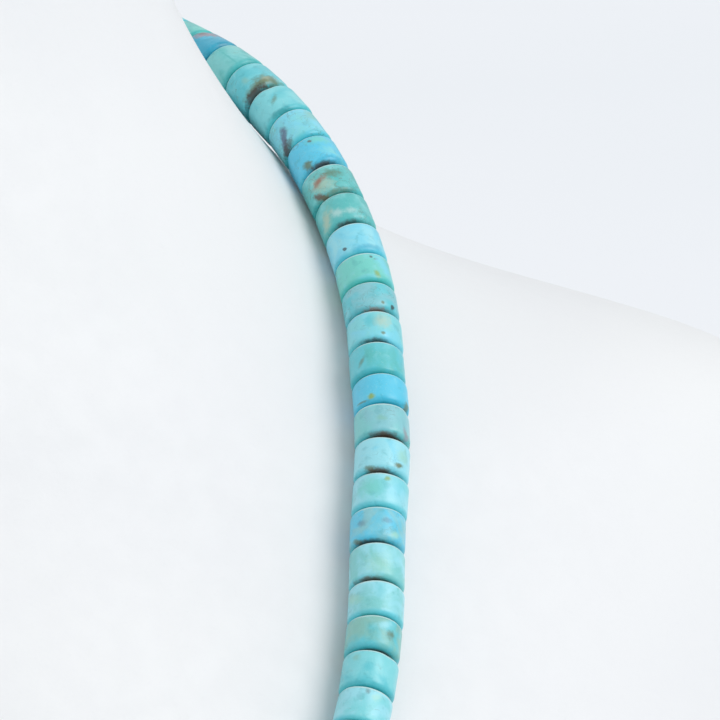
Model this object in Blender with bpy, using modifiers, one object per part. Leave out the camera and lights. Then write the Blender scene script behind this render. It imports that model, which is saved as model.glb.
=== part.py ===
"""A turquoise bead necklace resting on a plain white neck bust, in metres, +Z up.

The bust faces -Y and stands on its flat base, with the neck's axis on Z. The necklace is one
loop of short barrel-cut beads, made as a right and a left run that meet at the front of the
chest and end at one plain barrel clasp at the nape.
"""

import bpy
import numpy as np

# The bust: its height, and how far each side stands out from the neck's axis.
BUST_HEIGHT = 0.200
NECK_RADIUS = 0.048
CHEST_REACH = 0.096
SHOULDER_REACH = 0.110
BACK_REACH = 0.066
TOP_EDGE_RADIUS = 0.004
BASE_EDGE_RADIUS = 0.002

# The beads: short cylinders threaded face to face.
BEAD_DIAMETER = 0.0050
BEAD_LENGTH = 0.00375
BEAD_JOINT = 0.00014
THREAD_CORE_DIAMETER = 0.0016

# The clasp: a small barrel, waisted where its two halves screw together.
CLASP_LENGTH = 0.0120
CLASP_DIAMETER = 0.0045
CLASP_END_DIAMETER = 0.0030
CLASP_TAPER = 0.0020
CLASP_GROOVE_WIDTH = 0.0008
CLASP_GROOVE_DEPTH = 0.0003

# Clearances: a bead to the bust, and one piece to the next along the thread.
SEAT_GAP = 0.0003
THREAD_GAP = 0.0003

# How finely the round shapes are divided.
BUST_SIDES = 48
BUST_RINGS = 44
EDGE_RINGS = 3
BEAD_SIDES = 10
CLASP_SIDES = 16
ROUTE_SAMPLES = 600

# The bust's sections. The first column is a share of BUST_HEIGHT. Each other column is one
# direction, in degrees round from the front, and holds how much of the way from NECK_RADIUS
# to that direction's full reach the surface stands out.
DIRECTIONS = (0, 28, 50, 70, 90, 115, 145, 180)
FULL_REACH = (CHEST_REACH,) * 3 + (SHOULDER_REACH,) * 4 + (BACK_REACH,)
SECTIONS = (
    # height  front   28    50    70   side   115   145   back
    (0.000, 0.92, 0.96, 0.99, 0.84, 0.86, 0.71, 0.44, 0.87),
    (0.150, 1.00, 1.03, 1.06, 0.92, 0.95, 0.78, 0.48, 0.97),
    (0.275, 0.98, 1.02, 1.06, 0.94, 0.99, 0.82, 0.49, 0.93),
    (0.400, 0.84, 0.90, 1.00, 0.93, 1.01, 0.84, 0.46, 0.76),
    (0.500, 0.63, 0.71, 0.87, 0.87, 1.01, 0.84, 0.42, 0.57),
    (0.580, 0.44, 0.51, 0.65, 0.74, 1.00, 0.81, 0.36, 0.40),
    (0.610, 0.36, 0.42, 0.55, 0.67, 0.98, 0.77, 0.32, 0.35),
    (0.640, 0.29, 0.34, 0.46, 0.59, 0.94, 0.70, 0.28, 0.30),
    (0.665, 0.24, 0.29, 0.39, 0.49, 0.83, 0.59, 0.24, 0.27),
    (0.690, 0.19, 0.25, 0.32, 0.39, 0.58, 0.42, 0.20, 0.23),
    (0.740, 0.11, 0.16, 0.23, 0.245, 0.23, 0.06, 0.105, 0.17),
    (0.790, 0.06, 0.10, 0.14, 0.15, 0.065, -0.02, 0.05, 0.12),
    (0.840, 0.03, 0.05, 0.07, 0.07, -0.025, -0.02, 0.02, 0.08),
    (0.910, 0.00, 0.01, 0.02, 0.02, -0.02, -0.01, 0.01, 0.02),
    (1.000, 0.00, 0.00, 0.00, 0.00, 0.00, 0.00, 0.00, 0.00),
)

# The string's route round one side, from the nape to the front of the chest: degrees round
# from the front, and a share of BUST_HEIGHT.
STRING_ROUTE = (
    (180.0, 0.830),
    (155.0, 0.824),
    (130.0, 0.811),
    (112.0, 0.806),
    (98.0, 0.793),
    (89.5, 0.783),
    (83.5, 0.768),
    (76.0, 0.735),
    (66.0, 0.669),
    (62.0, 0.640),
    (43.0, 0.478),
    (31.0, 0.427),
    (15.5, 0.413),
    (0.0, 0.413),
)

# Hand-cut beads differ in length. These shares of BEAD_LENGTH repeat along the thread.
LENGTH_SHARES = (
    1.00, 1.05, 1.00, 0.90, 0.90, 0.95, 0.95, 0.90, 0.95, 1.00, 0.95, 1.00, 1.05,
    0.95, 0.95, 1.00, 0.95, 1.00, 1.10, 1.10, 1.15, 1.15, 1.10, 1.10, 1.10,
)


def spline(knots, values, at, level_ends):
    """Cubic spline through the values at the knots, with level or with straight ends."""
    step = np.diff(knots)
    slope = np.diff(values, axis=0) / step[:, None]
    size = len(knots)
    matrix = np.zeros((size, size))
    right = np.zeros((size, values.shape[1]))
    inner = np.arange(1, size - 1)
    matrix[inner, inner - 1] = step[:-1]
    matrix[inner, inner] = 2 * (step[:-1] + step[1:])
    matrix[inner, inner + 1] = step[1:]
    right[1:-1] = 6 * np.diff(slope, axis=0)
    if level_ends:
        matrix[0, :2] = 2 * step[0], step[0]
        matrix[-1, -2:] = step[-1], 2 * step[-1]
        right[0] = 6 * slope[0]
        right[-1] = -6 * slope[-1]
    else:
        matrix[0, 0] = matrix[-1, -1] = 1
    bend = np.linalg.solve(matrix, right)
    i = np.clip(np.searchsorted(knots, at) - 1, 0, size - 2)
    width = step[i][:, None]
    u = (at - knots[i])[:, None]
    w = width - u
    curve = (bend[i] * w**3 + bend[i + 1] * u**3) / (6 * width)
    curve += (values[i] / width - bend[i] * width / 6) * w
    curve += (values[i + 1] / width - bend[i + 1] * width / 6) * u
    return curve


def bust_reach(angle, height):
    """Distance of the bust's surface from the neck's axis, at angles from the front."""
    table = np.array(SECTIONS)
    heights = table[:, 0] * BUST_HEIGHT
    reach = NECK_RADIUS + table[:, 1:] * (np.array(FULL_REACH) - NECK_RADIUS)
    directions = np.radians(DIRECTIONS)
    turned = np.abs((angle + np.pi) % (2 * np.pi) - np.pi)
    by_height = spline(heights, np.eye(len(heights)), height, level_ends=False)
    by_angle = spline(directions, np.eye(len(directions)), turned, level_ends=True)
    return ((by_height @ reach) * by_angle).sum(1)


def bust_point(angle, height, inset=0.0):
    """Points on the bust at angles from the front, drawn in by the inset."""
    reach = bust_reach(angle, height) - inset
    return np.stack([reach * np.sin(angle), -reach * np.cos(angle), height], 1)


def bust_normal(angle, height):
    """Outward unit normals of the bust, from small steps round it and up it."""
    turn = 0.001
    rise = 0.001 * BUST_HEIGHT
    across = bust_point(angle + turn, height) - bust_point(angle - turn, height)
    up = bust_point(angle, height + rise) - bust_point(angle, height - rise)
    normal = np.cross(across, up)
    return normal / np.linalg.norm(normal, axis=1)[:, None]


def thread_line():
    """The thread's line along one side: lengths from the nape, points and outward normals."""
    route = np.array(STRING_ROUTE) * (np.pi / 180, BUST_HEIGHT)
    chosen = bust_point(route[:, 0], route[:, 1])
    spacing = np.linalg.norm(np.diff(chosen, axis=0), axis=1)
    knots = np.concatenate([[0], np.cumsum(spacing)])
    at = np.linspace(0, knots[-1], ROUTE_SAMPLES)
    angle = spline(knots, route[:, :1], at, level_ends=False)[:, 0]
    height = spline(knots, route[:, 1:], at, level_ends=True)[:, 0]
    normal = bust_normal(angle, height)
    point = bust_point(angle, height) + normal * (BEAD_DIAMETER / 2 + SEAT_GAP)
    length = np.concatenate([[0], np.cumsum(np.linalg.norm(np.diff(point, axis=0), axis=1))])
    return length, point, normal


def bead_ends(length):
    """Where each bead starts and ends along the thread, between the clasp and the front."""
    first = CLASP_LENGTH / 2 + THREAD_GAP
    room = length - THREAD_GAP / 2 - first
    count = round(room / (BEAD_LENGTH * np.mean(LENGTH_SHARES)))
    shares = np.resize(LENGTH_SHARES, count)
    ends = first + room * np.concatenate([[0], np.cumsum(shares)]) / shares.sum()
    starts, stops = ends[:-1].copy(), ends[1:].copy()
    starts[1:] += BEAD_JOINT / 2
    stops[:-1] -= BEAD_JOINT / 2
    return starts, stops


def new_object(name, vertices, faces, material, collection):
    """A named mesh object with one material, in the collection."""
    mesh = bpy.data.meshes.new(name)
    mesh.from_pydata(vertices, [], faces)
    mesh.materials.append(material)
    made = bpy.data.objects.new(name, mesh)
    collection.objects.link(made)
    return made


def new_material(name, colour, roughness, metallic=0.0):
    """A Principled material of one colour."""
    material = bpy.data.materials.new(name)
    material.use_nodes = True
    shader = material.node_tree.nodes["Principled BSDF"]
    shader.inputs["Base Color"].default_value = (*colour, 1.0)
    shader.inputs["Roughness"].default_value = roughness
    shader.inputs["Metallic"].default_value = metallic
    return material


def tube_faces(rings, sides, flipped=False):
    """Faces of a closed tube of rings, with one flat face at each end."""
    ring, side = np.meshgrid(np.arange(rings - 1), np.arange(sides), indexing="ij")
    a = ring * sides + side
    b = ring * sides + (side + 1) % sides
    quads = np.stack([a, b, b + sides, a + sides], -1).reshape(-1, 4)
    bottom = np.arange(sides)[::-1]
    top = (rings - 1) * sides + np.arange(sides)
    faces = [*quads.tolist(), bottom.tolist(), top.tolist()]
    return [face[::-1] for face in faces] if flipped else faces


def make_bust(collection):
    """The neck, shoulders and chest: one lofted solid with a flat base and a flat top."""
    level = np.linspace(0, BUST_HEIGHT, BUST_RINGS)
    plain = level[(level > BASE_EDGE_RADIUS) & (level < BUST_HEIGHT - TOP_EDGE_RADIUS)]
    turn = np.linspace(0, np.pi / 2, EDGE_RINGS + 1)
    low_edge = BASE_EDGE_RADIUS * (1 - np.sin(turn))
    high_edge = BUST_HEIGHT - TOP_EDGE_RADIUS * (1 - np.sin(turn))
    heights = np.concatenate([low_edge[::-1], plain, high_edge])
    insets = np.concatenate([
        BASE_EDGE_RADIUS * (1 - np.cos(turn[::-1])),
        np.zeros(len(plain)),
        TOP_EDGE_RADIUS * (1 - np.cos(turn)),
    ])
    angles = np.linspace(0, 2 * np.pi, BUST_SIDES, endpoint=False)
    height = np.repeat(heights, BUST_SIDES)
    inset = np.repeat(insets, BUST_SIDES)
    vertices = bust_point(np.tile(angles, len(heights)), height, inset)
    material = new_material("white_resin", (0.92, 0.93, 0.94), 0.55)
    faces = tube_faces(len(heights), BUST_SIDES)
    bust = new_object("neck_bust", vertices, faces, material, collection)
    bust.data.shade_smooth()
    bust.data.set_sharp_from_angle(angle=np.radians(40))
    return bust


def make_bead_run(name, side, material, collection):
    """One side's beads on their thread: four rings a bead, joined by the thread's core."""
    length, point, normal = thread_line()
    starts, stops = bead_ends(length[-1])
    bead = BEAD_DIAMETER / 2
    core = THREAD_CORE_DIAMETER / 2
    places = np.stack([starts, starts, stops, stops], 1).ravel()
    radii = np.tile([core, bead, bead, core], len(starts))
    centre = np.stack([np.interp(places, length, point[:, k]) for k in range(3)], 1)
    out = np.stack([np.interp(places, length, normal[:, k]) for k in range(3)], 1)
    slope = np.gradient(point, length, axis=0)
    along = np.stack([np.interp(places, length, slope[:, k]) for k in range(3)], 1)
    along /= np.linalg.norm(along, axis=1)[:, None]
    out -= (out * along).sum(1)[:, None] * along
    out /= np.linalg.norm(out, axis=1)[:, None]
    across = np.cross(along, out)
    turn = np.linspace(0, 2 * np.pi, BEAD_SIDES, endpoint=False)[None, :, None]
    ring = np.cos(turn) * out[:, None] + np.sin(turn) * across[:, None]
    vertices = (centre[:, None] + radii[:, None, None] * ring).reshape(-1, 3) * (side, 1, 1)
    faces = tube_faces(len(places), BEAD_SIDES, flipped=side < 0)
    return new_object(name, vertices, faces, material, collection)


def make_clasp(collection):
    """The barrel clasp at the nape, turned about the thread."""
    _, point, _ = thread_line()
    end = CLASP_LENGTH / 2
    groove = CLASP_GROOVE_WIDTH / 2
    waist = CLASP_DIAMETER / 2 - CLASP_GROOVE_DEPTH
    upper_half = [
        (0, end),
        (CLASP_END_DIAMETER / 2, end),
        (CLASP_DIAMETER / 2, end - CLASP_TAPER),
        (CLASP_DIAMETER / 2, groove),
        (waist, groove / 2),
    ]
    profile = upper_half + [(radius, -height) for radius, height in reversed(upper_half)]
    vertices = [(radius, 0, height) for radius, height in profile]
    edges = [(i, i + 1) for i in range(len(vertices) - 1)]
    mesh = bpy.data.meshes.new("clasp")
    mesh.from_pydata(vertices, edges, [])
    mesh.materials.append(new_material("silver", (0.80, 0.80, 0.79), 0.28, metallic=1.0))
    clasp = bpy.data.objects.new("clasp", mesh)
    collection.objects.link(clasp)
    turned = clasp.modifiers.new("turned", "SCREW")
    turned.steps = CLASP_SIDES
    turned.render_steps = CLASP_SIDES
    turned.use_merge_vertices = True
    turned.merge_threshold = 0.00001
    clasp.location = (0, point[0, 1], point[0, 2])
    clasp.rotation_euler = (0, np.pi / 2, 0)
    return clasp


for old in list(bpy.data.objects):
    bpy.data.objects.remove(old)

necklace = bpy.data.collections.new("beaded_necklace_on_neck_bust")
bpy.context.scene.collection.children.link(necklace)

make_bust(necklace)
turquoise = new_material("turquoise", (0.22, 0.62, 0.66), 0.35)
make_bead_run("bead_run_right", 1, turquoise, necklace)
turquoise_left = new_material("turquoise_left", (0.22, 0.62, 0.66), 0.35)
make_bead_run("bead_run_left", -1, turquoise_left, necklace)
make_clasp(necklace)
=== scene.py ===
"""Looks of a turquoise bead necklace on a white neck bust, in metres, +Z up.

Every piece is placed in its mesh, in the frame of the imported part, and rides on its one body.
"""

import bpy
import numpy as np
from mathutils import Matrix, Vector


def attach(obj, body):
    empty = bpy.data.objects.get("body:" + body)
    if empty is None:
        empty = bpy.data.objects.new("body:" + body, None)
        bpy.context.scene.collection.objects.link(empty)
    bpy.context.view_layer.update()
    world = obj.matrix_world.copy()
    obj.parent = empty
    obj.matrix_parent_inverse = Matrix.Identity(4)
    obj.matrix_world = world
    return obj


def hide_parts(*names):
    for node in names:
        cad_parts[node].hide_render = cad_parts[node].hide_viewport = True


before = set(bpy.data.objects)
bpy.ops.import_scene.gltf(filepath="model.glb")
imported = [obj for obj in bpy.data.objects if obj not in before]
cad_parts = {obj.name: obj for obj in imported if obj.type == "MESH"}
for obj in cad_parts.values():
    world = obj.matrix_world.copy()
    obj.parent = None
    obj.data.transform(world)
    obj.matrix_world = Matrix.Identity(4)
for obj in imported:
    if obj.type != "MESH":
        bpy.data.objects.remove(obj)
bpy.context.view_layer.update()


# The neck bust
# A small display bust: neck, shoulders and chest in one hollow casting of white resin, sanded
# and sprayed matt. It stands on a flat base, and both of its rims are rounded.
BUST_HEIGHT = 0.200
NECK_RADIUS = 0.048
CHEST_REACH = 0.096
SHOULDER_REACH = 0.110
BACK_REACH = 0.066
TOP_EDGE_RADIUS = 0.004
BASE_EDGE_RADIUS = 0.002
BUST_SIDES = 240
BUST_LEVELS = 200
BUST_EDGE_RINGS = 6
BUST_CAP_RINGS = 8

# How far the bust stands out at each height, the first column, and in each direction, in
# degrees round from the front: shares of the way from the neck's radius to the full reach.
DIRECTIONS = (0, 28, 50, 70, 90, 115, 145, 180)
FULL_REACH = (CHEST_REACH,) * 3 + (SHOULDER_REACH,) * 4 + (BACK_REACH,)
SECTIONS = (
    (0.000, 0.92, 0.96, 0.99, 0.84, 0.86, 0.71, 0.44, 0.87),
    (0.150, 1.00, 1.03, 1.06, 0.92, 0.95, 0.78, 0.48, 0.97),
    (0.275, 0.98, 1.02, 1.06, 0.94, 0.99, 0.82, 0.49, 0.93),
    (0.400, 0.84, 0.90, 1.00, 0.93, 1.01, 0.84, 0.46, 0.76),
    (0.500, 0.63, 0.71, 0.87, 0.87, 1.01, 0.84, 0.42, 0.57),
    (0.580, 0.44, 0.51, 0.65, 0.74, 1.00, 0.81, 0.36, 0.40),
    (0.610, 0.36, 0.42, 0.55, 0.67, 0.98, 0.77, 0.32, 0.35),
    (0.640, 0.29, 0.34, 0.46, 0.59, 0.94, 0.70, 0.28, 0.30),
    (0.665, 0.24, 0.29, 0.39, 0.49, 0.83, 0.59, 0.24, 0.27),
    (0.690, 0.19, 0.25, 0.32, 0.39, 0.58, 0.42, 0.20, 0.23),
    (0.740, 0.11, 0.16, 0.23, 0.245, 0.23, 0.06, 0.105, 0.17),
    (0.790, 0.06, 0.10, 0.14, 0.15, 0.065, -0.02, 0.05, 0.12),
    (0.840, 0.03, 0.05, 0.07, 0.07, -0.025, -0.02, 0.02, 0.08),
    (0.910, 0.00, 0.01, 0.02, 0.02, -0.02, -0.01, 0.01, 0.02),
    (1.000, 0.00, 0.00, 0.00, 0.00, 0.00, 0.00, 0.00, 0.00),
)


def spline(knots, values, at, level_ends):
    """Cubic spline through the values at the knots, read off at the given places.

    Its second derivatives solve the usual three-band system. The ends are level, or straight.
    """
    step = np.diff(knots)
    slope = np.diff(values, axis=0) / step[:, None]
    size = len(knots)
    matrix = np.zeros((size, size))
    right = np.zeros((size, values.shape[1]))
    inner = np.arange(1, size - 1)
    matrix[inner, inner - 1] = step[:-1]
    matrix[inner, inner] = 2 * (step[:-1] + step[1:])
    matrix[inner, inner + 1] = step[1:]
    right[1:-1] = 6 * np.diff(slope, axis=0)
    if level_ends:
        matrix[0, :2] = 2 * step[0], step[0]
        matrix[-1, -2:] = step[-1], 2 * step[-1]
        right[0] = 6 * slope[0]
        right[-1] = -6 * slope[-1]
    else:
        matrix[0, 0] = matrix[-1, -1] = 1
    bend = np.linalg.solve(matrix, right)
    i = np.clip(np.searchsorted(knots, at) - 1, 0, size - 2)
    width = step[i][:, None]
    u = (at - knots[i])[:, None]
    w = width - u
    curve = (bend[i] * w**3 + bend[i + 1] * u**3) / (6 * width)
    curve += (values[i] / width - bend[i] * width / 6) * w
    curve += (values[i + 1] / width - bend[i + 1] * width / 6) * u
    return curve


def bust_point(angle, height, inset=0.0, share=1.0):
    """Points of the bust at angles from the front and heights.

    The reach from the neck's axis is the table's, by a spline up it times a spline round it,
    less the inset. The share draws a point in towards the axis, for the flat ends.
    """
    table = np.array(SECTIONS)
    heights = table[:, 0] * BUST_HEIGHT
    full = NECK_RADIUS + table[:, 1:] * (np.array(FULL_REACH) - NECK_RADIUS)
    directions = np.radians(DIRECTIONS)
    turned = np.abs((angle + np.pi) % (2 * np.pi) - np.pi)
    by_height = spline(heights, np.eye(len(heights)), height, level_ends=False)
    by_angle = spline(directions, np.eye(len(directions)), turned, level_ends=True)
    reach = share * (((by_height @ full) * by_angle).sum(1) - inset)
    return np.stack([reach * np.sin(angle), -reach * np.cos(angle), height], 1)


def grid_faces(rings, sides, closed=False):
    """Quads of a grid that closes round its sides, and from last ring to first if asked."""
    count = rings if closed else rings - 1
    ring, side = np.meshgrid(np.arange(count), np.arange(sides), indexing="ij")
    following = (ring + 1) % rings
    beside = (side + 1) % sides
    corners = [
        ring * sides + side,
        ring * sides + beside,
        following * sides + beside,
        following * sides + side,
    ]
    return np.stack(corners, -1).reshape(-1, 4)


def new_piece(name, vertices, faces, material, replaced=()):
    """A smooth-shaded mesh object at the origin that rides on the part's one body."""
    mesh = bpy.data.meshes.new(name)
    mesh.from_pydata(vertices.tolist(), [], faces)
    mesh.shade_smooth()
    mesh.materials.append(material)
    piece = bpy.data.objects.new(name, mesh)
    bpy.context.scene.collection.objects.link(piece)
    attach(piece, "root")
    if replaced:
        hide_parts(*replaced)
    return piece


def screen_colour(red, green, blue):
    """A colour given in screen values of 0 to 255, as the linear shares that a shader takes."""
    share = np.array([red, green, blue]) / 255
    linear = np.where(share <= 0.04045, share / 12.92, ((share + 0.055) / 1.055) ** 2.4)
    return (*linear.tolist(), 1.0)


def new_material(name):
    """A material with its node tree and its Principled shader."""
    material = bpy.data.materials.new(name)
    material.use_nodes = True
    tree = material.node_tree
    return material, tree, tree.nodes["Principled BSDF"]


def add_node(tree, kind, inputs, **settings):
    """A node with its settings. Each input takes a value, or an output that feeds it."""
    made = tree.nodes.new(kind)
    for name, value in settings.items():
        setattr(made, name, value)
    for name, value in inputs.items():
        if isinstance(value, bpy.types.NodeSocket):
            tree.links.new(value, made.inputs[name])
        else:
            made.inputs[name].default_value = value
    return made


def noise(tree, place, scale, detail=2.0, roughness=0.5, distortion=0.0):
    """Soft cloudy values about a half, so many clouds to the unit of the place."""
    inputs = {
        "Vector": place,
        "Scale": scale,
        "Detail": detail,
        "Roughness": roughness,
        "Distortion": distortion,
    }
    return add_node(tree, "ShaderNodeTexNoise", inputs).outputs[0]


def ramp(tree, value, low, high, start=0.0, end=1.0):
    """The value eased from start to end as it goes from low to high, and level beyond."""
    inputs = {0: value, 1: low, 2: high, 3: start, 4: end}
    settings = {"interpolation_type": "SMOOTHSTEP"}
    return add_node(tree, "ShaderNodeMapRange", inputs, **settings).outputs[0]


def maths(tree, operation, first, second=0.0):
    """One sum of two values."""
    inputs = {0: first, 1: second}
    return add_node(tree, "ShaderNodeMath", inputs, operation=operation).outputs[0]


def blend(tree, amount, under, over, way="MIX"):
    """The colour under, with so much of the colour over laid on it."""
    inputs = {0: amount, 6: under, 7: over}
    settings = {"data_type": "RGBA", "blend_type": way}
    return add_node(tree, "ShaderNodeMix", inputs, **settings).outputs[2]


def bump(tree, height, distance):
    """A surface normal tilted by a height that stands at most so many metres proud."""
    return add_node(tree, "ShaderNodeBump", {"Height": height, "Distance": distance}).outputs[0]


white_resin, tree, shader = new_material("white_resin")
place = add_node(tree, "ShaderNodeTexCoord", {}).outputs["Object"]
cast = noise(tree, place, 22.0, detail=3.0)
sanding = noise(tree, place, 420.0)
grain = noise(tree, place, 2600.0, detail=3.0, roughness=0.6)
sprayed = screen_colour(232, 233, 233)
thin_spray = screen_colour(229, 230, 231)
grain_shade = screen_colour(215, 217, 219)
resin = blend(tree, ramp(tree, cast, 0.35, 0.65), thin_spray, sprayed)
resin = blend(tree, ramp(tree, grain, 0.55, 0.75, 0.0, 0.10), resin, grain_shade)
relief = maths(tree, "ADD", grain, maths(tree, "MULTIPLY", sanding, 2.0))
tree.links.new(resin, shader.inputs["Base Color"])
tree.links.new(ramp(tree, sanding, 0.3, 0.7, 0.50, 0.62), shader.inputs["Roughness"])
tree.links.new(bump(tree, relief, 0.000012), shader.inputs["Normal"])

turn = np.linspace(0, np.pi / 2, BUST_EDGE_RINGS + 1)
cap = np.linspace(0, 1, BUST_CAP_RINGS + 1)[1:-1]
wall = np.linspace(BASE_EDGE_RADIUS, BUST_HEIGHT - TOP_EDGE_RADIUS, BUST_LEVELS)[1:-1]
heights = np.concatenate([
    0 * cap,
    BASE_EDGE_RADIUS * (1 - np.cos(turn)),
    wall,
    BUST_HEIGHT - TOP_EDGE_RADIUS * (1 - np.sin(turn)),
    0 * cap + BUST_HEIGHT,
])
insets = np.concatenate([
    0 * cap + BASE_EDGE_RADIUS,
    BASE_EDGE_RADIUS * (1 - np.sin(turn)),
    0 * wall,
    TOP_EDGE_RADIUS * (1 - np.cos(turn)),
    0 * cap + TOP_EDGE_RADIUS,
])
shares = np.concatenate([cap, 0 * turn + 1, 0 * wall + 1, 0 * turn + 1, cap[::-1]])
angles = np.linspace(0, 2 * np.pi, BUST_SIDES, endpoint=False)
points = bust_point(
    np.tile(angles, len(heights)),
    np.repeat(heights, BUST_SIDES),
    np.repeat(insets, BUST_SIDES),
    np.repeat(shares, BUST_SIDES),
)
centres = len(points) + np.arange(2)
side = np.arange(BUST_SIDES)
beside = (side + 1) % BUST_SIDES
top = centres[0] - BUST_SIDES
base_fan = np.stack([0 * side + centres[0], beside, side], 1)
top_fan = np.stack([top + side, top + beside, 0 * side + centres[1]], 1)
quads = grid_faces(len(heights), BUST_SIDES)
points = np.concatenate([points, [(0, 0, 0), (0, 0, BUST_HEIGHT)]])
faces = [*quads.tolist(), *base_fan.tolist(), *top_fan.tolist()]
new_piece("neck_bust_cast", points, faces, white_resin, ["neck_bust"])


# The turquoise beads
# Heishi beads: turquoise rough is sawn into slabs, drilled, strung tight on a wire and ground
# round in one go, so the beads share a width and differ in length, colour and brown matrix.
# They are threaded face to face from the clasp at the nape to the front of the chest.
BEAD_DIAMETER = 0.0050
BEAD_LENGTH = 0.00375
BEAD_HOLE = 0.0010
CLASP_LENGTH = 0.0120
THREAD_GAP = 0.0003
SEAT_GAP = 0.0003
SETTLING = 0.00015
CLOSE_JOINT = 0.00003
WIDE_JOINT = 0.00034
EDGE_ROUNDING = 0.00046
EDGE_ROUNDING_SPREAD = 0.00008
CHIP_DEPTH = 0.00022
UNEVENNESS = 0.00003
CLOSE_OPENING = 0.00006
RADIUS_SPREAD = 0.008
CHIP_HALF_ANGLE = 0.28
OVAL_SHARE = 0.005
THREE_SIDED_SHARE = 0.004
STONE_TURN = 70
ROUGH_SIZE = 90
MARK_REACH = 2.4
BEAD_SIDES = 40
ROUTE_SAMPLES = 1200

# The string's route down one side, from the nape to the front of the chest: degrees round from
# the front, and a share of the bust's height. Then the beads' lengths, as shares of the usual
# one, which repeat along the thread.
STRING_ROUTE = (
    (180.0, 0.830),
    (155.0, 0.824),
    (130.0, 0.811),
    (112.0, 0.806),
    (98.0, 0.793),
    (89.5, 0.783),
    (83.5, 0.768),
    (76.0, 0.735),
    (66.0, 0.669),
    (62.0, 0.640),
    (43.0, 0.478),
    (31.0, 0.427),
    (15.5, 0.413),
    (0.0, 0.413),
)
LENGTH_SHARES = (
    1.00, 1.05, 1.00, 0.90, 0.90, 0.95, 0.95, 0.90, 0.95, 1.00, 0.95, 1.00, 1.05,
    0.95, 0.95, 1.00, 0.95, 1.00, 1.10, 1.10, 1.15, 1.15, 1.10, 1.10, 1.10,
)

SKY = screen_colour(84, 199, 228)
LIGHT_SKY = screen_colour(122, 212, 232)
PALE_SKY = screen_colour(150, 221, 232)
DEEP_SKY = screen_colour(34, 162, 192)
CYAN = screen_colour(90, 196, 206)
LIGHT_CYAN = screen_colour(124, 211, 217)
TEAL = screen_colour(84, 186, 184)
DEEP_TEAL = screen_colour(34, 146, 152)
PALE_TEAL = screen_colour(122, 203, 202)
MINT = screen_colour(112, 207, 196)
PALE_GREEN = screen_colour(156, 214, 198)
GREY_GREEN = screen_colour(128, 190, 180)
GREY_TEAL = screen_colour(130, 196, 204)
CHALK = screen_colour(196, 224, 220)
SAND = screen_colour(196, 200, 168)
OLIVE = screen_colour(96, 110, 72)
YELLOW_OLIVE = screen_colour(138, 172, 92)
BROWN = screen_colour(92, 66, 48)
UMBER = screen_colour(52, 40, 34)
RUST = screen_colour(150, 92, 70)
SLATE = screen_colour(84, 96, 124)
MAUVE = screen_colour(150, 136, 146)

# The stones from the top of the stretch that the camera sees: first and second colour, how
# much of the bead the second takes, how much vein there is, and if the joint below stands open.
FIRST_STONE = 18
STONES = (
    (MINT, TEAL, 0.6, 0.0, False),
    (DEEP_SKY, SKY, 0.15, 0.1, False),
    (PALE_TEAL, TEAL, 0.5, 0.1, False),
    (CYAN, LIGHT_CYAN, 0.4, 0.2, True),
    (LIGHT_CYAN, CYAN, 0.4, 0.1, False),
    (LIGHT_CYAN, LIGHT_SKY, 0.5, 0.3, False),
    (SKY, LIGHT_CYAN, 0.3, 0.3, True),
    (TEAL, PALE_TEAL, 0.4, 0.5, False),
    (TEAL, PALE_TEAL, 0.4, 0.2, True),
    (LIGHT_SKY, PALE_SKY, 0.4, 0.1, False),
    (MINT, LIGHT_CYAN, 0.3, 0.1, False),
    (GREY_TEAL, CYAN, 0.5, 0.3, True),
    (LIGHT_CYAN, LIGHT_SKY, 0.4, 0.1, True),
    (CYAN, TEAL, 0.3, 0.0, False),
    (SKY, LIGHT_SKY, 0.2, 0.0, False),
    (GREY_TEAL, PALE_TEAL, 0.5, 0.2, True),
    (PALE_SKY, LIGHT_SKY, 0.3, 0.1, True),
    (PALE_SKY, LIGHT_CYAN, 0.4, 0.1, False),
    (SKY, GREY_TEAL, 0.5, 0.2, True),
    (PALE_SKY, PALE_TEAL, 0.5, 0.1, True),
    (PALE_SKY, PALE_TEAL, 0.4, 0.1, False),
    (GREY_GREEN, CYAN, 0.5, 0.1, True),
    (LIGHT_CYAN, CYAN, 0.4, 0.1, False),
    (PALE_SKY, LIGHT_CYAN, 0.4, 0.1, False),
    (LIGHT_SKY, CYAN, 0.4, 0.1, False),
)

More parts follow.
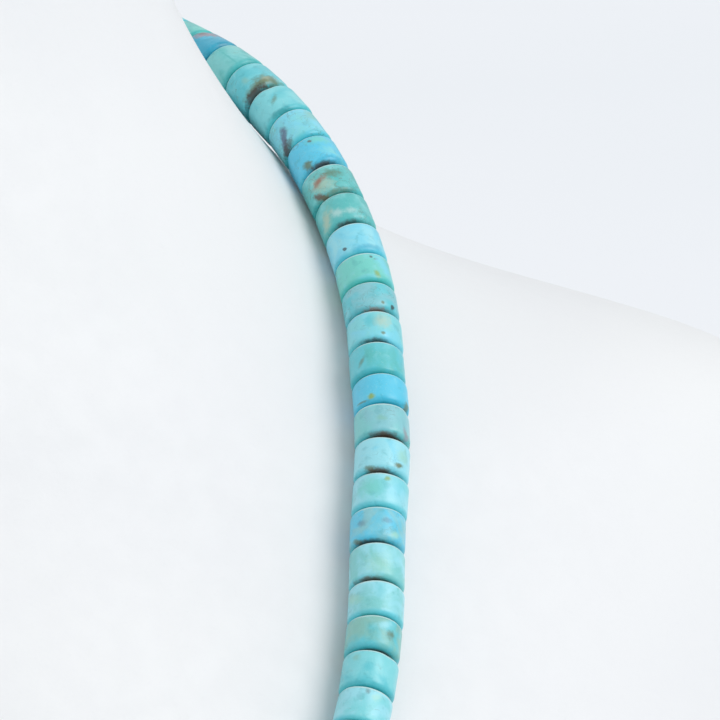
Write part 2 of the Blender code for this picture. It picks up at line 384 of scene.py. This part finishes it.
# Spots, patches and veins on those stones, and painted shade: the stone, degrees round it from
# the side that faces away from the bust, share of its length down it, half width and half length
# in millimetres, lean in degrees, softness, colour and strength. The wide, thin dark marks set
# nine tenths or more of the way down a stone are painted shade: dark bands along the lower rim,
# where each bead meets the next.
MARKS = (
    (1, 60, 0.25, 1.4, 0.6, -35, 0.5, MAUVE, 0.9),
    (1, 70, 0.10, 0.6, 0.3, -55, 0.6, BROWN, 0.45),
    (1, 90, 0.90, 1.8, 0.5, -60, 0.7, DEEP_SKY, 0.8),
    (2, 80, 0.55, 1.6, 0.1, -90, 0.5, TEAL, 0.8),
    (3, 55, 0.80, 1.3, 0.7, -20, 0.6, OLIVE, 0.75),
    (3, 60, 0.80, 0.4, 0.5, -30, 0.6, SAND, 0.5),
    (3, 85, 0.85, 1.5, 0.4, 0, 0.7, OLIVE, 0.8),
    (3, 105, 0.95, 1.6, 0.4, 0, 0.6, UMBER, 0.9),
    (3, 95, 0.50, 0.4, 0.3, -90, 0.7, GREY_GREEN, 0.7),
    (4, 75, 0.50, 0.2, 0.5, -45, 0.7, OLIVE, 0.6),
    (4, 80, 0.95, 1.2, 0.3, -15, 0.7, DEEP_TEAL, 0.75),
    (5, 20, 0.30, 1.1, 0.6, 25, 0.8, GREY_GREEN, 0.6),
    (5, 110, 0.65, 1.3, 0.4, 60, 0.6, SLATE, 0.9),
    (5, 120, 0.90, 1.0, 0.5, 30, 0.6, UMBER, 0.85),
    (6, 40, 0.20, 0.9, 0.5, -10, 0.8, MINT, 0.8),
    (6, 60, 0.20, 0.2, 0.15, -25, 0.5, BROWN, 0.8),
    (6, 90, 0.80, 0.5, 0.4, -45, 0.6, OLIVE, 0.85),
    (6, 30, 0.90, 1.5, 0.4, 0, 0.8, DEEP_SKY, 0.7),
    (6, 60, 0.95, 1.5, 0.2, 0, 0.7, UMBER, 0.9),
    (7, 45, 0.35, 0.8, 0.5, -15, 0.7, OLIVE, 0.6),
    (7, 90, 0.90, 1.0, 0.3, -45, 0.5, BROWN, 0.9),
    (7, 75, 0.60, 1.1, 0.7, -40, 0.8, SAND, 0.5),
    (7, 80, 0.45, 0.7, 0.3, 25, 0.9, RUST, 0.85),
    (7, 55, 0.95, 1.6, 0.2, 0, 0.8, OLIVE, 0.6),
    (8, 65, 0.60, 0.5, 0.4, -35, 0.95, CHALK, 0.6),
    (8, 35, 0.65, 0.5, 0.3, -10, 0.95, CHALK, 0.5),
    (8, 95, 0.60, 0.5, 1.0, -30, 0.9, SAND, 0.6),
    (8, 55, 0.95, 1.3, 0.2, 0, 0.7, UMBER, 0.8),
    (9, 70, 0.75, 0.2, 0.15, -35, 0.4, UMBER, 0.8),
    (9, 15, 0.85, 1.4, 0.3, 5, 0.8, DEEP_SKY, 0.6),
    (9, -40, 0.45, 0.6, 0.4, 35, 0.8, TEAL, 0.5),
    (10, 15, 0.20, 0.15, 0.15, 0, 0.4, UMBER, 0.75),
    (10, 5, 0.25, 0.25, 0.1, 15, 0.5, OLIVE, 0.7),
    (10, 10, 0.80, 0.25, 0.35, 10, 0.7, YELLOW_OLIVE, 0.8),
    (10, -15, 0.45, 0.6, 1.5, 30, 0.8, LIGHT_SKY, 0.8),
    (11, 40, 0.20, 0.5, 0.3, -15, 0.8, GREY_TEAL, 0.8),
    (11, 5, 0.75, 0.15, 0.15, 10, 0.5, OLIVE, 0.8),
    (11, -20, 0.80, 0.25, 0.2, 30, 0.4, UMBER, 0.85),
    (11, 20, 0.95, 1.2, 0.2, 0, 0.7, RUST, 0.8),
    (12, 35, 0.35, 0.5, 0.6, -15, 0.7, CYAN, 0.9),
    (12, 10, 0.35, 0.7, 0.6, 10, 0.95, SAND, 0.55),
    (12, 10, 0.75, 0.2, 0.15, 10, 0.6, OLIVE, 0.8),
    (12, 30, 0.95, 1.5, 0.2, 0, 0.7, UMBER, 0.8),
    (13, 60, 0.60, 0.2, 0.5, -30, 0.7, OLIVE, 0.6),
    (14, 45, 0.80, 0.35, 0.25, -20, 0.6, YELLOW_OLIVE, 0.95),
    (14, -45, 0.90, 0.4, 0.4, 35, 0.6, OLIVE, 0.75),
    (14, 70, 0.85, 0.6, 0.1, -10, 0.6, OLIVE, 0.7),
    (15, 25, 0.50, 0.4, 0.3, -5, 0.7, GREY_GREEN, 0.85),
    (15, -35, 0.80, 0.3, 0.6, 35, 0.7, MAUVE, 0.7),
    (15, 20, 0.95, 1.3, 0.2, 0, 0.7, BROWN, 0.9),
    (16, -25, 0.45, 0.6, 0.6, 30, 0.8, PALE_GREEN, 0.7),
    (16, 50, 0.90, 0.5, 0.25, -15, 0.6, OLIVE, 0.75),
    (16, -15, 0.75, 0.5, 0.25, 25, 0.6, OLIVE, 0.9),
    (16, 25, 0.95, 1.3, 0.2, 0, 0.7, BROWN, 0.9),
    (17, 45, 0.45, 1.1, 0.8, -10, 0.8, MINT, 0.75),
    (17, -10, 0.40, 1.1, 0.8, 25, 0.9, LIGHT_SKY, 0.5),
    (17, 10, 0.20, 0.25, 0.2, 10, 0.7, YELLOW_OLIVE, 0.8),
    (18, 60, 0.45, 0.4, 0.3, -20, 0.8, SLATE, 0.45),
    (18, 5, 0.40, 0.4, 0.25, 10, 0.8, SLATE, 0.4),
    (18, 75, 0.90, 0.5, 0.2, -25, 0.6, OLIVE, 0.75),
    (18, -15, 0.75, 0.5, 0.3, 25, 0.8, PALE_GREEN, 0.8),
    (18, 45, 0.95, 1.6, 0.15, 0, 0.7, UMBER, 0.8),
    (19, 20, 0.60, 1.0, 0.9, 5, 0.9, PALE_GREEN, 0.6),
    (19, 45, 0.95, 1.6, 0.15, 0, 0.7, BROWN, 0.8),
    (20, 15, 0.30, 0.5, 0.7, 10, 0.9, CYAN, 0.45),
    (20, 80, 0.45, 1.0, 0.4, -25, 0.9, PALE_GREEN, 0.7),
    (21, -15, 0.50, 0.4, 0.4, 25, 0.7, OLIVE, 0.75),
    (21, 0, 0.25, 0.8, 0.3, 20, 0.8, PALE_SKY, 0.7),
    (22, 55, 0.25, 0.3, 0.3, -10, 0.8, GREY_GREEN, 0.7),
    (22, 25, 0.50, 0.4, 0.4, 5, 0.8, CYAN, 0.7),
    (23, 20, 0.15, 0.2, 0.2, 10, 0.7, BROWN, 0.5),
    (23, 0, 0.25, 0.4, 0.3, 25, 0.8, PALE_GREEN, 0.6),
)
MARKS_PER_STONE = 5


def bust_normal(angle, height):
    """Outward unit normals of the bust: a small step round it crossed with one up it."""
    turn = 0.001
    rise = 0.001 * BUST_HEIGHT
    across = bust_point(angle + turn, height) - bust_point(angle - turn, height)
    up = bust_point(angle, height + rise) - bust_point(angle, height - rise)
    normal = np.cross(across, up)
    return normal / np.linalg.norm(normal, axis=1)[:, None]


def thread_line():
    """The thread's line down one side: lengths from the nape, points and outward normals.

    A spline through the chosen places on the bust, lifted off it by half a bead and a gap.
    """
    route = np.array(STRING_ROUTE) * (np.pi / 180, BUST_HEIGHT)
    chosen = bust_point(route[:, 0], route[:, 1])
    spacing = np.linalg.norm(np.diff(chosen, axis=0), axis=1)
    knots = np.concatenate([[0], np.cumsum(spacing)])
    at = np.linspace(0, knots[-1], ROUTE_SAMPLES)
    angle = spline(knots, route[:, :1], at, level_ends=False)[:, 0]
    height = spline(knots, route[:, 1:], at, level_ends=True)[:, 0]
    normal = bust_normal(angle, height)
    point = bust_point(angle, height) + normal * (BEAD_DIAMETER / 2 + SEAT_GAP)
    length = np.concatenate([[0], np.cumsum(np.linalg.norm(np.diff(point, axis=0), axis=1))])
    return length, point, normal


def unit(vectors):
    """The same directions at a length of one."""
    return vectors / np.linalg.norm(vectors, axis=-1, keepdims=True)


def bead_run(name, side, seed, replaced):
    """One side's beads on the thread line.

    A bead's outline is a rounded oblong beside its hole: rings of a radius and a place along
    the bead. A point is the bead's middle, plus its place along the axis, plus its radius
    turned round the axis. The radius loses a little to flats and to chips along the edges,
    and where a joint stands open the lower face is drawn in towards the outer side.
    """
    rng = np.random.default_rng(seed)
    length, point, normal = thread_line()
    first = CLASP_LENGTH / 2 + THREAD_GAP
    room = length[-1] - THREAD_GAP / 2 - first
    count = round(room / (BEAD_LENGTH * np.mean(LENGTH_SHARES)))
    shares = np.resize(LENGTH_SHARES, count)
    rims = first + room * np.concatenate([[0], np.cumsum(shares)]) / shares.sum()

    stone = (np.arange(count) - FIRST_STONE) % len(STONES)
    shown = (side > 0) & (np.arange(count) >= FIRST_STONE)
    shown &= np.arange(count) < FIRST_STONE + len(STONES)
    stone = np.where(shown, stone, rng.permutation(np.resize(np.arange(len(STONES)), count)))
    turned = np.where(shown, 0, rng.uniform(-STONE_TURN, STONE_TURN, count))

    lifted = point - normal * SETTLING
    ends = np.stack([np.interp(rims, length, lifted[:, k]) for k in range(3)], 1)
    axis = unit(ends[1:] - ends[:-1])
    middle = (ends[1:] + ends[:-1]) / 2
    halfway = (rims[1:] + rims[:-1]) / 2
    out = np.stack([np.interp(halfway, length, normal[:, k]) for k in range(3)], 1)
    out = unit(out - (out * axis).sum(1, keepdims=True) * axis)
    across = np.cross(axis, out)

    body = np.linalg.norm(ends[1:] - ends[:-1], axis=1) - CLOSE_JOINT
    radius = BEAD_DIAMETER / 2 * (1 - np.abs(rng.normal(0, RADIUS_SPREAD, count)))
    rounding = EDGE_ROUNDING + EDGE_ROUNDING_SPREAD * rng.uniform(-1, 1, count)
    middle = middle + UNEVENNESS * rng.normal(0, 1, (count, 1)) * across

    bend = np.linspace(0, np.pi / 2, 5)
    level = np.array([0.3, 0.5, 0.7])
    kept = np.concatenate([1 - np.sin(bend), 0 * level, 1 - np.sin(bend[::-1])])
    drop = np.concatenate([1 - np.cos(bend), 0 * level, -(1 - np.cos(bend[::-1]))])
    start = np.concatenate([0 * bend, level, 0 * bend + 1])
    ring_radius = radius[:, None] - rounding[:, None] * kept
    ring_place = body[:, None] * start + rounding[:, None] * drop
    hole = np.full((count, 1), BEAD_HOLE / 2)
    ring_radius = np.concatenate([hole, ring_radius, hole], 1)
    ring_place = np.concatenate([0 * hole, ring_place, body[:, None]], 1)
    edge = np.concatenate([[0], np.sin(bend), 0.4 + 0 * level, np.sin(bend[::-1]), [0]])
    lower = np.concatenate([0 * bend, [0], 0.2 * level, 0 * bend + 1, [1]])

    angle = np.linspace(-np.pi, np.pi, BEAD_SIDES, endpoint=False)
    spread = ring_radius[:, :, None] + 0 * angle
    oval = np.cos(2 * angle + rng.uniform(0, 6, (count, 1)))
    three_sided = np.cos(3 * angle + rng.uniform(0, 6, (count, 1)))
    flat = OVAL_SHARE * oval * radius[:, None]
    flat += THREE_SIDED_SHARE * three_sided * radius[:, None]
    spread[:, 1:-1] += flat[:, None]
    for end, weight in ((0, 1 - lower), (1, lower)):
        where = rng.uniform(-np.pi, np.pi, (count, 1))
        deep = CHIP_DEPTH * rng.uniform(0, 1, (count, 1)) ** 3
        apart = (angle - where + np.pi) % (2 * np.pi) - np.pi
        chip = deep * np.exp(-((apart / CHIP_HALF_ANGLE) ** 2))
        spread -= chip[:, None] * (edge * weight)[None, :, None]

    wide = np.array([row[4] for row in STONES])[stone]
    opening = np.where(wide, WIDE_JOINT, CLOSE_OPENING)[:, None] * (1 + np.cos(angle)) / 2
    reach = spread / radius[:, None, None]
    along = ring_place[:, :, None] - opening[:, None] * reach * lower[None, :, None]
    along -= body[:, None, None] / 2

    turning = np.cos(angle)[:, None] * out[:, None, None]
    turning = turning + np.sin(angle)[:, None] * across[:, None, None]
    points = middle[:, None, None] + along[..., None] * axis[:, None, None]
    points = points + spread[..., None] * turning
    points = points * (side, 1, 1)
    ring_count = ring_radius.shape[1]
    quads = grid_faces(ring_count, BEAD_SIDES, closed=True)
    if side < 0:
        quads = quads[:, ::-1]
    per_bead = ring_count * BEAD_SIDES
    faces = (quads[None] + per_bead * np.arange(count)[:, None, None]).reshape(-1, 4)
    piece = new_piece(name, points.reshape(-1, 3), faces.tolist(), turquoise, replaced)

    def store(label, kind, field, values):
        """A value for each point of the mesh, for the material to read."""
        shape = (count, ring_count, BEAD_SIDES)
        values = np.broadcast_to(values, shape + values.shape[3:])
        layer = piece.data.attributes.new(label, kind, "POINT")
        layer.data.foreach_set(field, np.ascontiguousarray(values, dtype=np.float32).ravel())

    whole = (slice(None), None, None)
    first_colour = np.array([row[0] for row in STONES])[stone]
    second_colour = np.array([row[1] for row in STONES])[stone]
    first_colour[:, 3] = np.array([row[2] for row in STONES])[stone]
    second_colour[:, 3] = np.array([row[3] for row in STONES])[stone]
    store("first_colour", "FLOAT_COLOR", "color", first_colour[whole])
    store("second_colour", "FLOAT_COLOR", "color", second_colour[whole])
    piece_of_rough = rng.uniform(0, ROUGH_SIZE, (count, 3))
    store("piece_of_rough", "FLOAT_VECTOR", "vector", piece_of_rough[whole])
    inside = (radius[:, None, None] - spread) / rounding[:, None, None]
    store("inside", "FLOAT", "value", inside)
    share = (along / body[:, None, None]) + 0.5
    store("to_lower_rim", "FLOAT", "value", (1 - share) * body[:, None, None] * 1000)
    store("to_upper_rim", "FLOAT", "value", share * body[:, None, None] * 1000)
    for number in range(MARKS_PER_STONE):
        frame_of_mark = np.zeros((count, ring_count, BEAD_SIDES, 3))
        colour = np.zeros((count, 4))
        for bead in range(count):
            rows = [row for row in MARKS if row[0] == stone[bead]]
            if number >= len(rows):
                continue
            _, degrees, down, width, height, lean, softness, tint, strength = rows[number]
            apart = angle - np.radians(degrees + turned[bead])
            apart = (apart + np.pi) % (2 * np.pi) - np.pi
            u = apart * radius[bead] * 1000 + 0 * share[bead]
            v = (share[bead] - down) * body[bead] * 1000
            cos, sin = np.cos(np.radians(lean)), np.sin(np.radians(lean))
            frame_of_mark[bead, ..., 0] = (u * cos + v * sin) / width
            frame_of_mark[bead, ..., 1] = (v * cos - u * sin) / height
            frame_of_mark[bead, ..., 2] = strength * (np.abs(apart) < MARK_REACH)
            colour[bead] = (*tint[:3], softness)
        store(f"mark_{number}", "FLOAT_VECTOR", "vector", frame_of_mark)
        store(f"mark_colour_{number}", "FLOAT_COLOR", "color", colour[whole])
    return piece


turquoise, tree, shader = new_material("turquoise")
place = add_node(tree, "ShaderNodeTexCoord", {}).outputs["Object"]
rough = add_node(tree, "ShaderNodeAttribute", {}, attribute_name="piece_of_rough")
stone_place = add_node(
    tree,
    "ShaderNodeVectorMath",
    {0: place, 1: (1000, 1000, 1000), 2: rough.outputs["Vector"]},
    operation="MULTIPLY_ADD",
).outputs[0]
first = add_node(tree, "ShaderNodeAttribute", {}, attribute_name="first_colour")
second = add_node(tree, "ShaderNodeAttribute", {}, attribute_name="second_colour")
inside = add_node(tree, "ShaderNodeAttribute", {}, attribute_name="inside").outputs["Fac"]

clouds = noise(tree, stone_place, 0.42, detail=3.0, distortion=0.6)
cloud_edge = ramp(tree, first.outputs["Alpha"], 0.0, 1.0, 0.66, 0.34)
cloud_side = maths(tree, "SUBTRACT", clouds, cloud_edge)
cloud = ramp(tree, cloud_side, -0.10, 0.14)
colour = blend(tree, cloud, first.outputs["Color"], second.outputs["Color"])

mottle = noise(tree, stone_place, 1.1, detail=4.0, roughness=0.5, distortion=0.4)
colour = blend(tree, ramp(tree, mottle, 0.50, 0.80, 0.0, 0.30), colour, PALE_SKY)
colour = blend(tree, ramp(tree, mottle, 0.46, 0.26, 0.0, 0.28), colour, DEEP_TEAL)
fleck = noise(tree, stone_place, 5.0, detail=3.0, roughness=0.6)
colour = blend(tree, ramp(tree, fleck, 0.58, 0.76, 0.0, 0.22), colour, CHALK)
colour = blend(tree, ramp(tree, fleck, 0.36, 0.26, 0.0, 0.22), colour, GREY_GREEN)

vein = noise(tree, stone_place, 0.8, detail=6.0, roughness=0.55, distortion=1.0)
vein_line = ramp(tree, maths(tree, "ABSOLUTE", maths(tree, "SUBTRACT", vein, 0.5)), 0.020, 0.0)
vein_field = maths(tree, "ADD", noise(tree, stone_place, 0.5), second.outputs["Alpha"])
vein_amount = maths(tree, "MULTIPLY", vein_line, ramp(tree, vein_field, 0.66, 0.95, 0.0, 0.5))
matrix = blend(tree, ramp(tree, mottle, 0.4, 0.6), OLIVE, BROWN)
colour = blend(tree, vein_amount, colour, matrix)

# The drilled and ground edges: painted shade deepens the colour towards a bead's lower rim,
# which its neighbour shades, and a painted highlight draws the very edge of the upper rim pale.
lower_rim = add_node(tree, "ShaderNodeAttribute", {}, attribute_name="to_lower_rim").outputs["Fac"]
upper_rim = add_node(tree, "ShaderNodeAttribute", {}, attribute_name="to_upper_rim").outputs["Fac"]
band = maths(tree, "ADD", lower_rim, maths(tree, "MULTIPLY", clouds, 0.4))
# Painted shade: the colour multiplied deeper along the lower rim.
deep = blend(tree, 1.0, colour, screen_colour(122, 226, 230), "MULTIPLY")
colour = blend(tree, ramp(tree, band, 0.95, 0.25, 0.0, 0.9), colour, deep)
# Painted highlight: a thin pale line of the chalk colour along the upper rim.
colour = blend(tree, ramp(tree, upper_rim, 0.36, 0.26, 0.0, 0.80), colour, CHALK)

wobble = maths(tree, "SUBTRACT", noise(tree, stone_place, 2.2, detail=4.0, roughness=0.65), 0.5)
for number in range(MARKS_PER_STONE):
    mark = add_node(tree, "ShaderNodeAttribute", {}, attribute_name=f"mark_{number}")
    tint = add_node(tree, "ShaderNodeAttribute", {}, attribute_name=f"mark_colour_{number}")
    parts = add_node(tree, "ShaderNodeSeparateXYZ", {0: mark.outputs["Vector"]}).outputs
    across_square = maths(tree, "MULTIPLY", parts[0], parts[0])
    down_square = maths(tree, "MULTIPLY", parts[1], parts[1])
    away = maths(tree, "SQRT", maths(tree, "ADD", across_square, down_square))
    away = maths(tree, "ADD", away, maths(tree, "MULTIPLY", wobble, 2.0))
    inner = maths(tree, "SUBTRACT", 1.0, tint.outputs["Alpha"])
    outer = maths(tree, "ADD", 1.001, tint.outputs["Alpha"])
    amount = maths(tree, "MULTIPLY", ramp(tree, away, inner, outer, 1.0, 0.0), parts[2])
    colour = blend(tree, amount, colour, tint.outputs["Color"])

# Painted shade: the end faces, inside the rounded edges, are drawn brown so the joints between
# beads look dark.
colour = blend(tree, ramp(tree, inside, 0.9, 1.8, 0.0, 0.85), colour, BROWN)
polish = ramp(tree, mottle, 0.3, 0.7, 0.30, 0.46)
relief = maths(tree, "ADD", maths(tree, "MULTIPLY", fleck, 0.5), mottle)
shader.inputs["Coat Weight"].default_value = 0.3
shader.inputs["Coat Roughness"].default_value = 0.3
tree.links.new(colour, shader.inputs["Base Color"])
tree.links.new(polish, shader.inputs["Roughness"])
tree.links.new(bump(tree, relief, 0.00003), shader.inputs["Normal"])

bead_run("beads_right", 1, 11, ["bead_run_right"])
bead_run("beads_left", -1, 12, ["bead_run_left"])


# The thread
# One waxed thread of two plies runs through every bead and is tied into each end of the
# clasp. It only shows where a joint stands open.
THREAD_DIAMETER = 0.0007
THREAD_PITCH = 0.0016
THREAD_SIDES = 10
THREAD_RINGS = 1400

waxed_thread, tree, shader = new_material("waxed_thread")
place = add_node(tree, "ShaderNodeTexCoord", {}).outputs["Object"]
fibre = noise(tree, place, 5000.0, detail=3.0)
dark_fibre = screen_colour(120, 92, 66)
light_fibre = screen_colour(170, 142, 108)
fibres = blend(tree, ramp(tree, fibre, 0.35, 0.65), dark_fibre, light_fibre)
tree.links.new(fibres, shader.inputs["Base Color"])
tree.links.new(ramp(tree, fibre, 0.3, 0.7, 0.5, 0.7), shader.inputs["Roughness"])
tree.links.new(bump(tree, fibre, 0.00003), shader.inputs["Normal"])

length, point, normal = thread_line()
kept = length > CLASP_LENGTH / 2 - 0.002
right_line = (point - normal * SETTLING)[kept]
right_out = normal[kept]
line = np.concatenate([right_line, right_line[-2::-1] * (-1, 1, 1)])
out = np.concatenate([right_out, right_out[-2::-1] * (-1, 1, 1)])
run = np.concatenate([[0], np.cumsum(np.linalg.norm(np.diff(line, axis=0), axis=1))])
at = np.linspace(0, run[-1], THREAD_RINGS)
line = np.stack([np.interp(at, run, line[:, k]) for k in range(3)], 1)
out = np.stack([np.interp(at, run, out[:, k]) for k in range(3)], 1)
along = unit(np.gradient(line, axis=0))
out = unit(out - (out * along).sum(1, keepdims=True) * along)
across = np.cross(along, out)
# A ring's radius swells twice round it, and the swelling turns once in each pitch: two plies.
angle = np.linspace(0, 2 * np.pi, THREAD_SIDES, endpoint=False)
plies = np.abs(np.cos(angle - 2 * np.pi * at[:, None] / THREAD_PITCH))
radius = THREAD_DIAMETER / 2 * (0.78 + 0.22 * plies)
turning = np.cos(angle)[:, None] * out[:, None] + np.sin(angle)[:, None] * across[:, None]
points = (line[:, None] + radius[..., None] * turning).reshape(-1, 3)
last = len(points) - THREAD_SIDES
ends = [np.arange(THREAD_SIDES)[::-1].tolist(), (last + np.arange(THREAD_SIDES)).tolist()]
faces = [*grid_faces(THREAD_RINGS, THREAD_SIDES).tolist(), *ends]
new_piece("thread", points, faces, waxed_thread)


# The clasp
# A small silver barrel at the nape, turned from bar: two halves that screw together at the
# waist, each with a knurled band for the fingers and a tapered end that the thread enters.
CLASP_DIAMETER = 0.0045
CLASP_END_DIAMETER = 0.0030
CLASP_TAPER = 0.0020
CLASP_GROOVE_WIDTH = 0.0008
CLASP_GROOVE_DEPTH = 0.0003
KNURL_START = 0.0010
KNURL_END = 0.0036
KNURL_DEPTH = 0.00009
KNURL_COUNT = 30
CLASP_SIDES = 120
CLASP_HALF_RINGS = 56

silver, tree, shader = new_material("silver")
place = add_node(tree, "ShaderNodeTexCoord", {}).outputs["Object"]
turning_marks = {"Vector": place, "Scale": (9000, 500, 500)}
lathe_place = add_node(tree, "ShaderNodeMapping", turning_marks).outputs[0]
lathe = noise(tree, lathe_place, 1.0, detail=3.0)
tarnish = noise(tree, place, 900.0, detail=4.0)
bright_silver = screen_colour(232, 230, 224)
dull_silver = screen_colour(176, 166, 150)
metal = blend(tree, ramp(tree, tarnish, 0.45, 0.75, 0.0, 0.5), bright_silver, dull_silver)
wear = ramp(tree, maths(tree, "ADD", lathe, tarnish), 0.7, 1.3, 0.16, 0.36)
shader.inputs["Metallic"].default_value = 1.0
tree.links.new(metal, shader.inputs["Base Color"])
tree.links.new(wear, shader.inputs["Roughness"])
tree.links.new(bump(tree, lathe, 0.000006), shader.inputs["Normal"])

outer = CLASP_DIAMETER / 2
waist = outer - CLASP_GROOVE_DEPTH
groove = CLASP_GROOVE_WIDTH / 2
end = CLASP_LENGTH / 2
outline = np.array([
    (0, waist),
    (groove * 0.5, waist),
    (groove, outer - 0.0001),
    (groove + 0.0001, outer),
    (end - CLASP_TAPER, outer),
    (end - CLASP_TAPER * 0.7, outer - 0.0001),
    (end - 0.0002, CLASP_END_DIAMETER / 2),
    (end, CLASP_END_DIAMETER / 2 - 0.0002),
])
half = np.linspace(0, end, CLASP_HALF_RINGS)
half = np.sort(np.concatenate([half, outline[1:-1, 0]]))
# A ring's radius is the outline's, less a ripple round it between the knurl's two ends.
middle = np.concatenate([-half[:0:-1], half])
radius = np.interp(np.abs(middle), outline[:, 0], outline[:, 1])
angle = np.linspace(0, 2 * np.pi, CLASP_SIDES, endpoint=False)
knurled = (np.abs(middle) > KNURL_START) & (np.abs(middle) < KNURL_END)
ripple = KNURL_DEPTH * (0.5 - 0.5 * np.cos(KNURL_COUNT * angle))
radius = radius[:, None] - knurled[:, None] * ripple
centre = point[0] - normal[0] * SETTLING
x = centre[0] + middle[:, None] + 0 * angle
y = centre[1] + radius * np.cos(angle)
z = centre[2] + radius * np.sin(angle)
points = np.stack([x, y, z], -1).reshape(-1, 3)
last = len(points) - CLASP_SIDES
ends = [np.arange(CLASP_SIDES)[::-1].tolist(), (last + np.arange(CLASP_SIDES)).tolist()]
faces = [*grid_faces(len(middle), CLASP_SIDES).tolist(), *ends]
new_piece("clasp_turned", points, faces, silver, ["clasp"])


# Floor, light and camera
# A wide pale floor under a plain pale sky. The key light comes from the upper right, a weak
# fill from the left and a broad soft one from overhead. The camera looks slightly down on the
# side of the neck.
FLOOR_WIDTH = 16.0
FLOOR_CELLS = 8
SKY_COLOUR = screen_colour(236, 239, 243)
CAMERA_PLACE = (0.06702, -0.92108, 0.25652)
CAMERA_DIP = 7.723
CAMERA_LENS = 499.5

floor_paint, tree, shader = new_material("floor_paint")
place = add_node(tree, "ShaderNodeTexCoord", {}).outputs["Object"]
haze = noise(tree, place, 1.5, detail=3.0)
greyer_paint = screen_colour(236, 239, 242)
paler_paint = screen_colour(240, 242, 245)
paint = blend(tree, ramp(tree, haze, 0.3, 0.7), greyer_paint, paler_paint)
tree.links.new(paint, shader.inputs["Base Color"])
shader.inputs["Roughness"].default_value = 0.8
# A flat grid of points at equal steps, and the four corners of each of its cells.
row = FLOOR_CELLS + 1
step = np.linspace(-FLOOR_WIDTH / 2, FLOOR_WIDTH / 2, row)
x, y = np.meshgrid(step, step, indexing="ij")
cell = np.arange(FLOOR_CELLS)[:, None] * row + np.arange(FLOOR_CELLS)
mesh = bpy.data.meshes.new("floor")
mesh.from_pydata(
    np.stack([x, y, 0 * x], -1).reshape(-1, 3).tolist(),
    [],
    np.stack([cell, cell + row, cell + row + 1, cell + 1], -1).reshape(-1, 4).tolist(),
)
mesh.materials.append(floor_paint)
floor = bpy.data.objects.new("floor", mesh)
bpy.context.scene.collection.objects.link(floor)

world = bpy.data.worlds.new("pale_sky")
world.use_nodes = True
background = world.node_tree.nodes["Background"]
background.inputs["Color"].default_value = SKY_COLOUR
background.inputs["Strength"].default_value = 0.62
bpy.context.scene.world = world
bpy.context.scene.view_settings.view_transform = "Standard"


def soft_light(name, from_direction, strength, spread):
    """A broad even light that comes from a direction, spread over so many degrees."""
    lamp = bpy.data.lights.new(name, "SUN")
    lamp.energy = strength
    lamp.angle = np.radians(spread)
    light = bpy.data.objects.new(name, lamp)
    light.rotation_euler = Vector(from_direction).to_track_quat("Z", "Y").to_euler()
    bpy.context.scene.collection.objects.link(light)


soft_light("key", (0.78, -0.38, 0.70), 1.42, 42)
soft_light("fill", (-0.6, -0.75, 0.3), 0.32, 90)
soft_light("ceiling", (0, 0.4, 1), 0.55, 100)

lens = bpy.data.cameras.new("camera")
lens.lens = CAMERA_LENS
lens.sensor_width = 36
lens.clip_start = 0.01
lens.clip_end = 30
camera = bpy.data.objects.new("camera", lens)
camera.location = CAMERA_PLACE
camera.rotation_euler = (np.radians(90 - CAMERA_DIP), 0, 0)
bpy.context.scene.collection.objects.link(camera)
bpy.context.scene.camera = camera
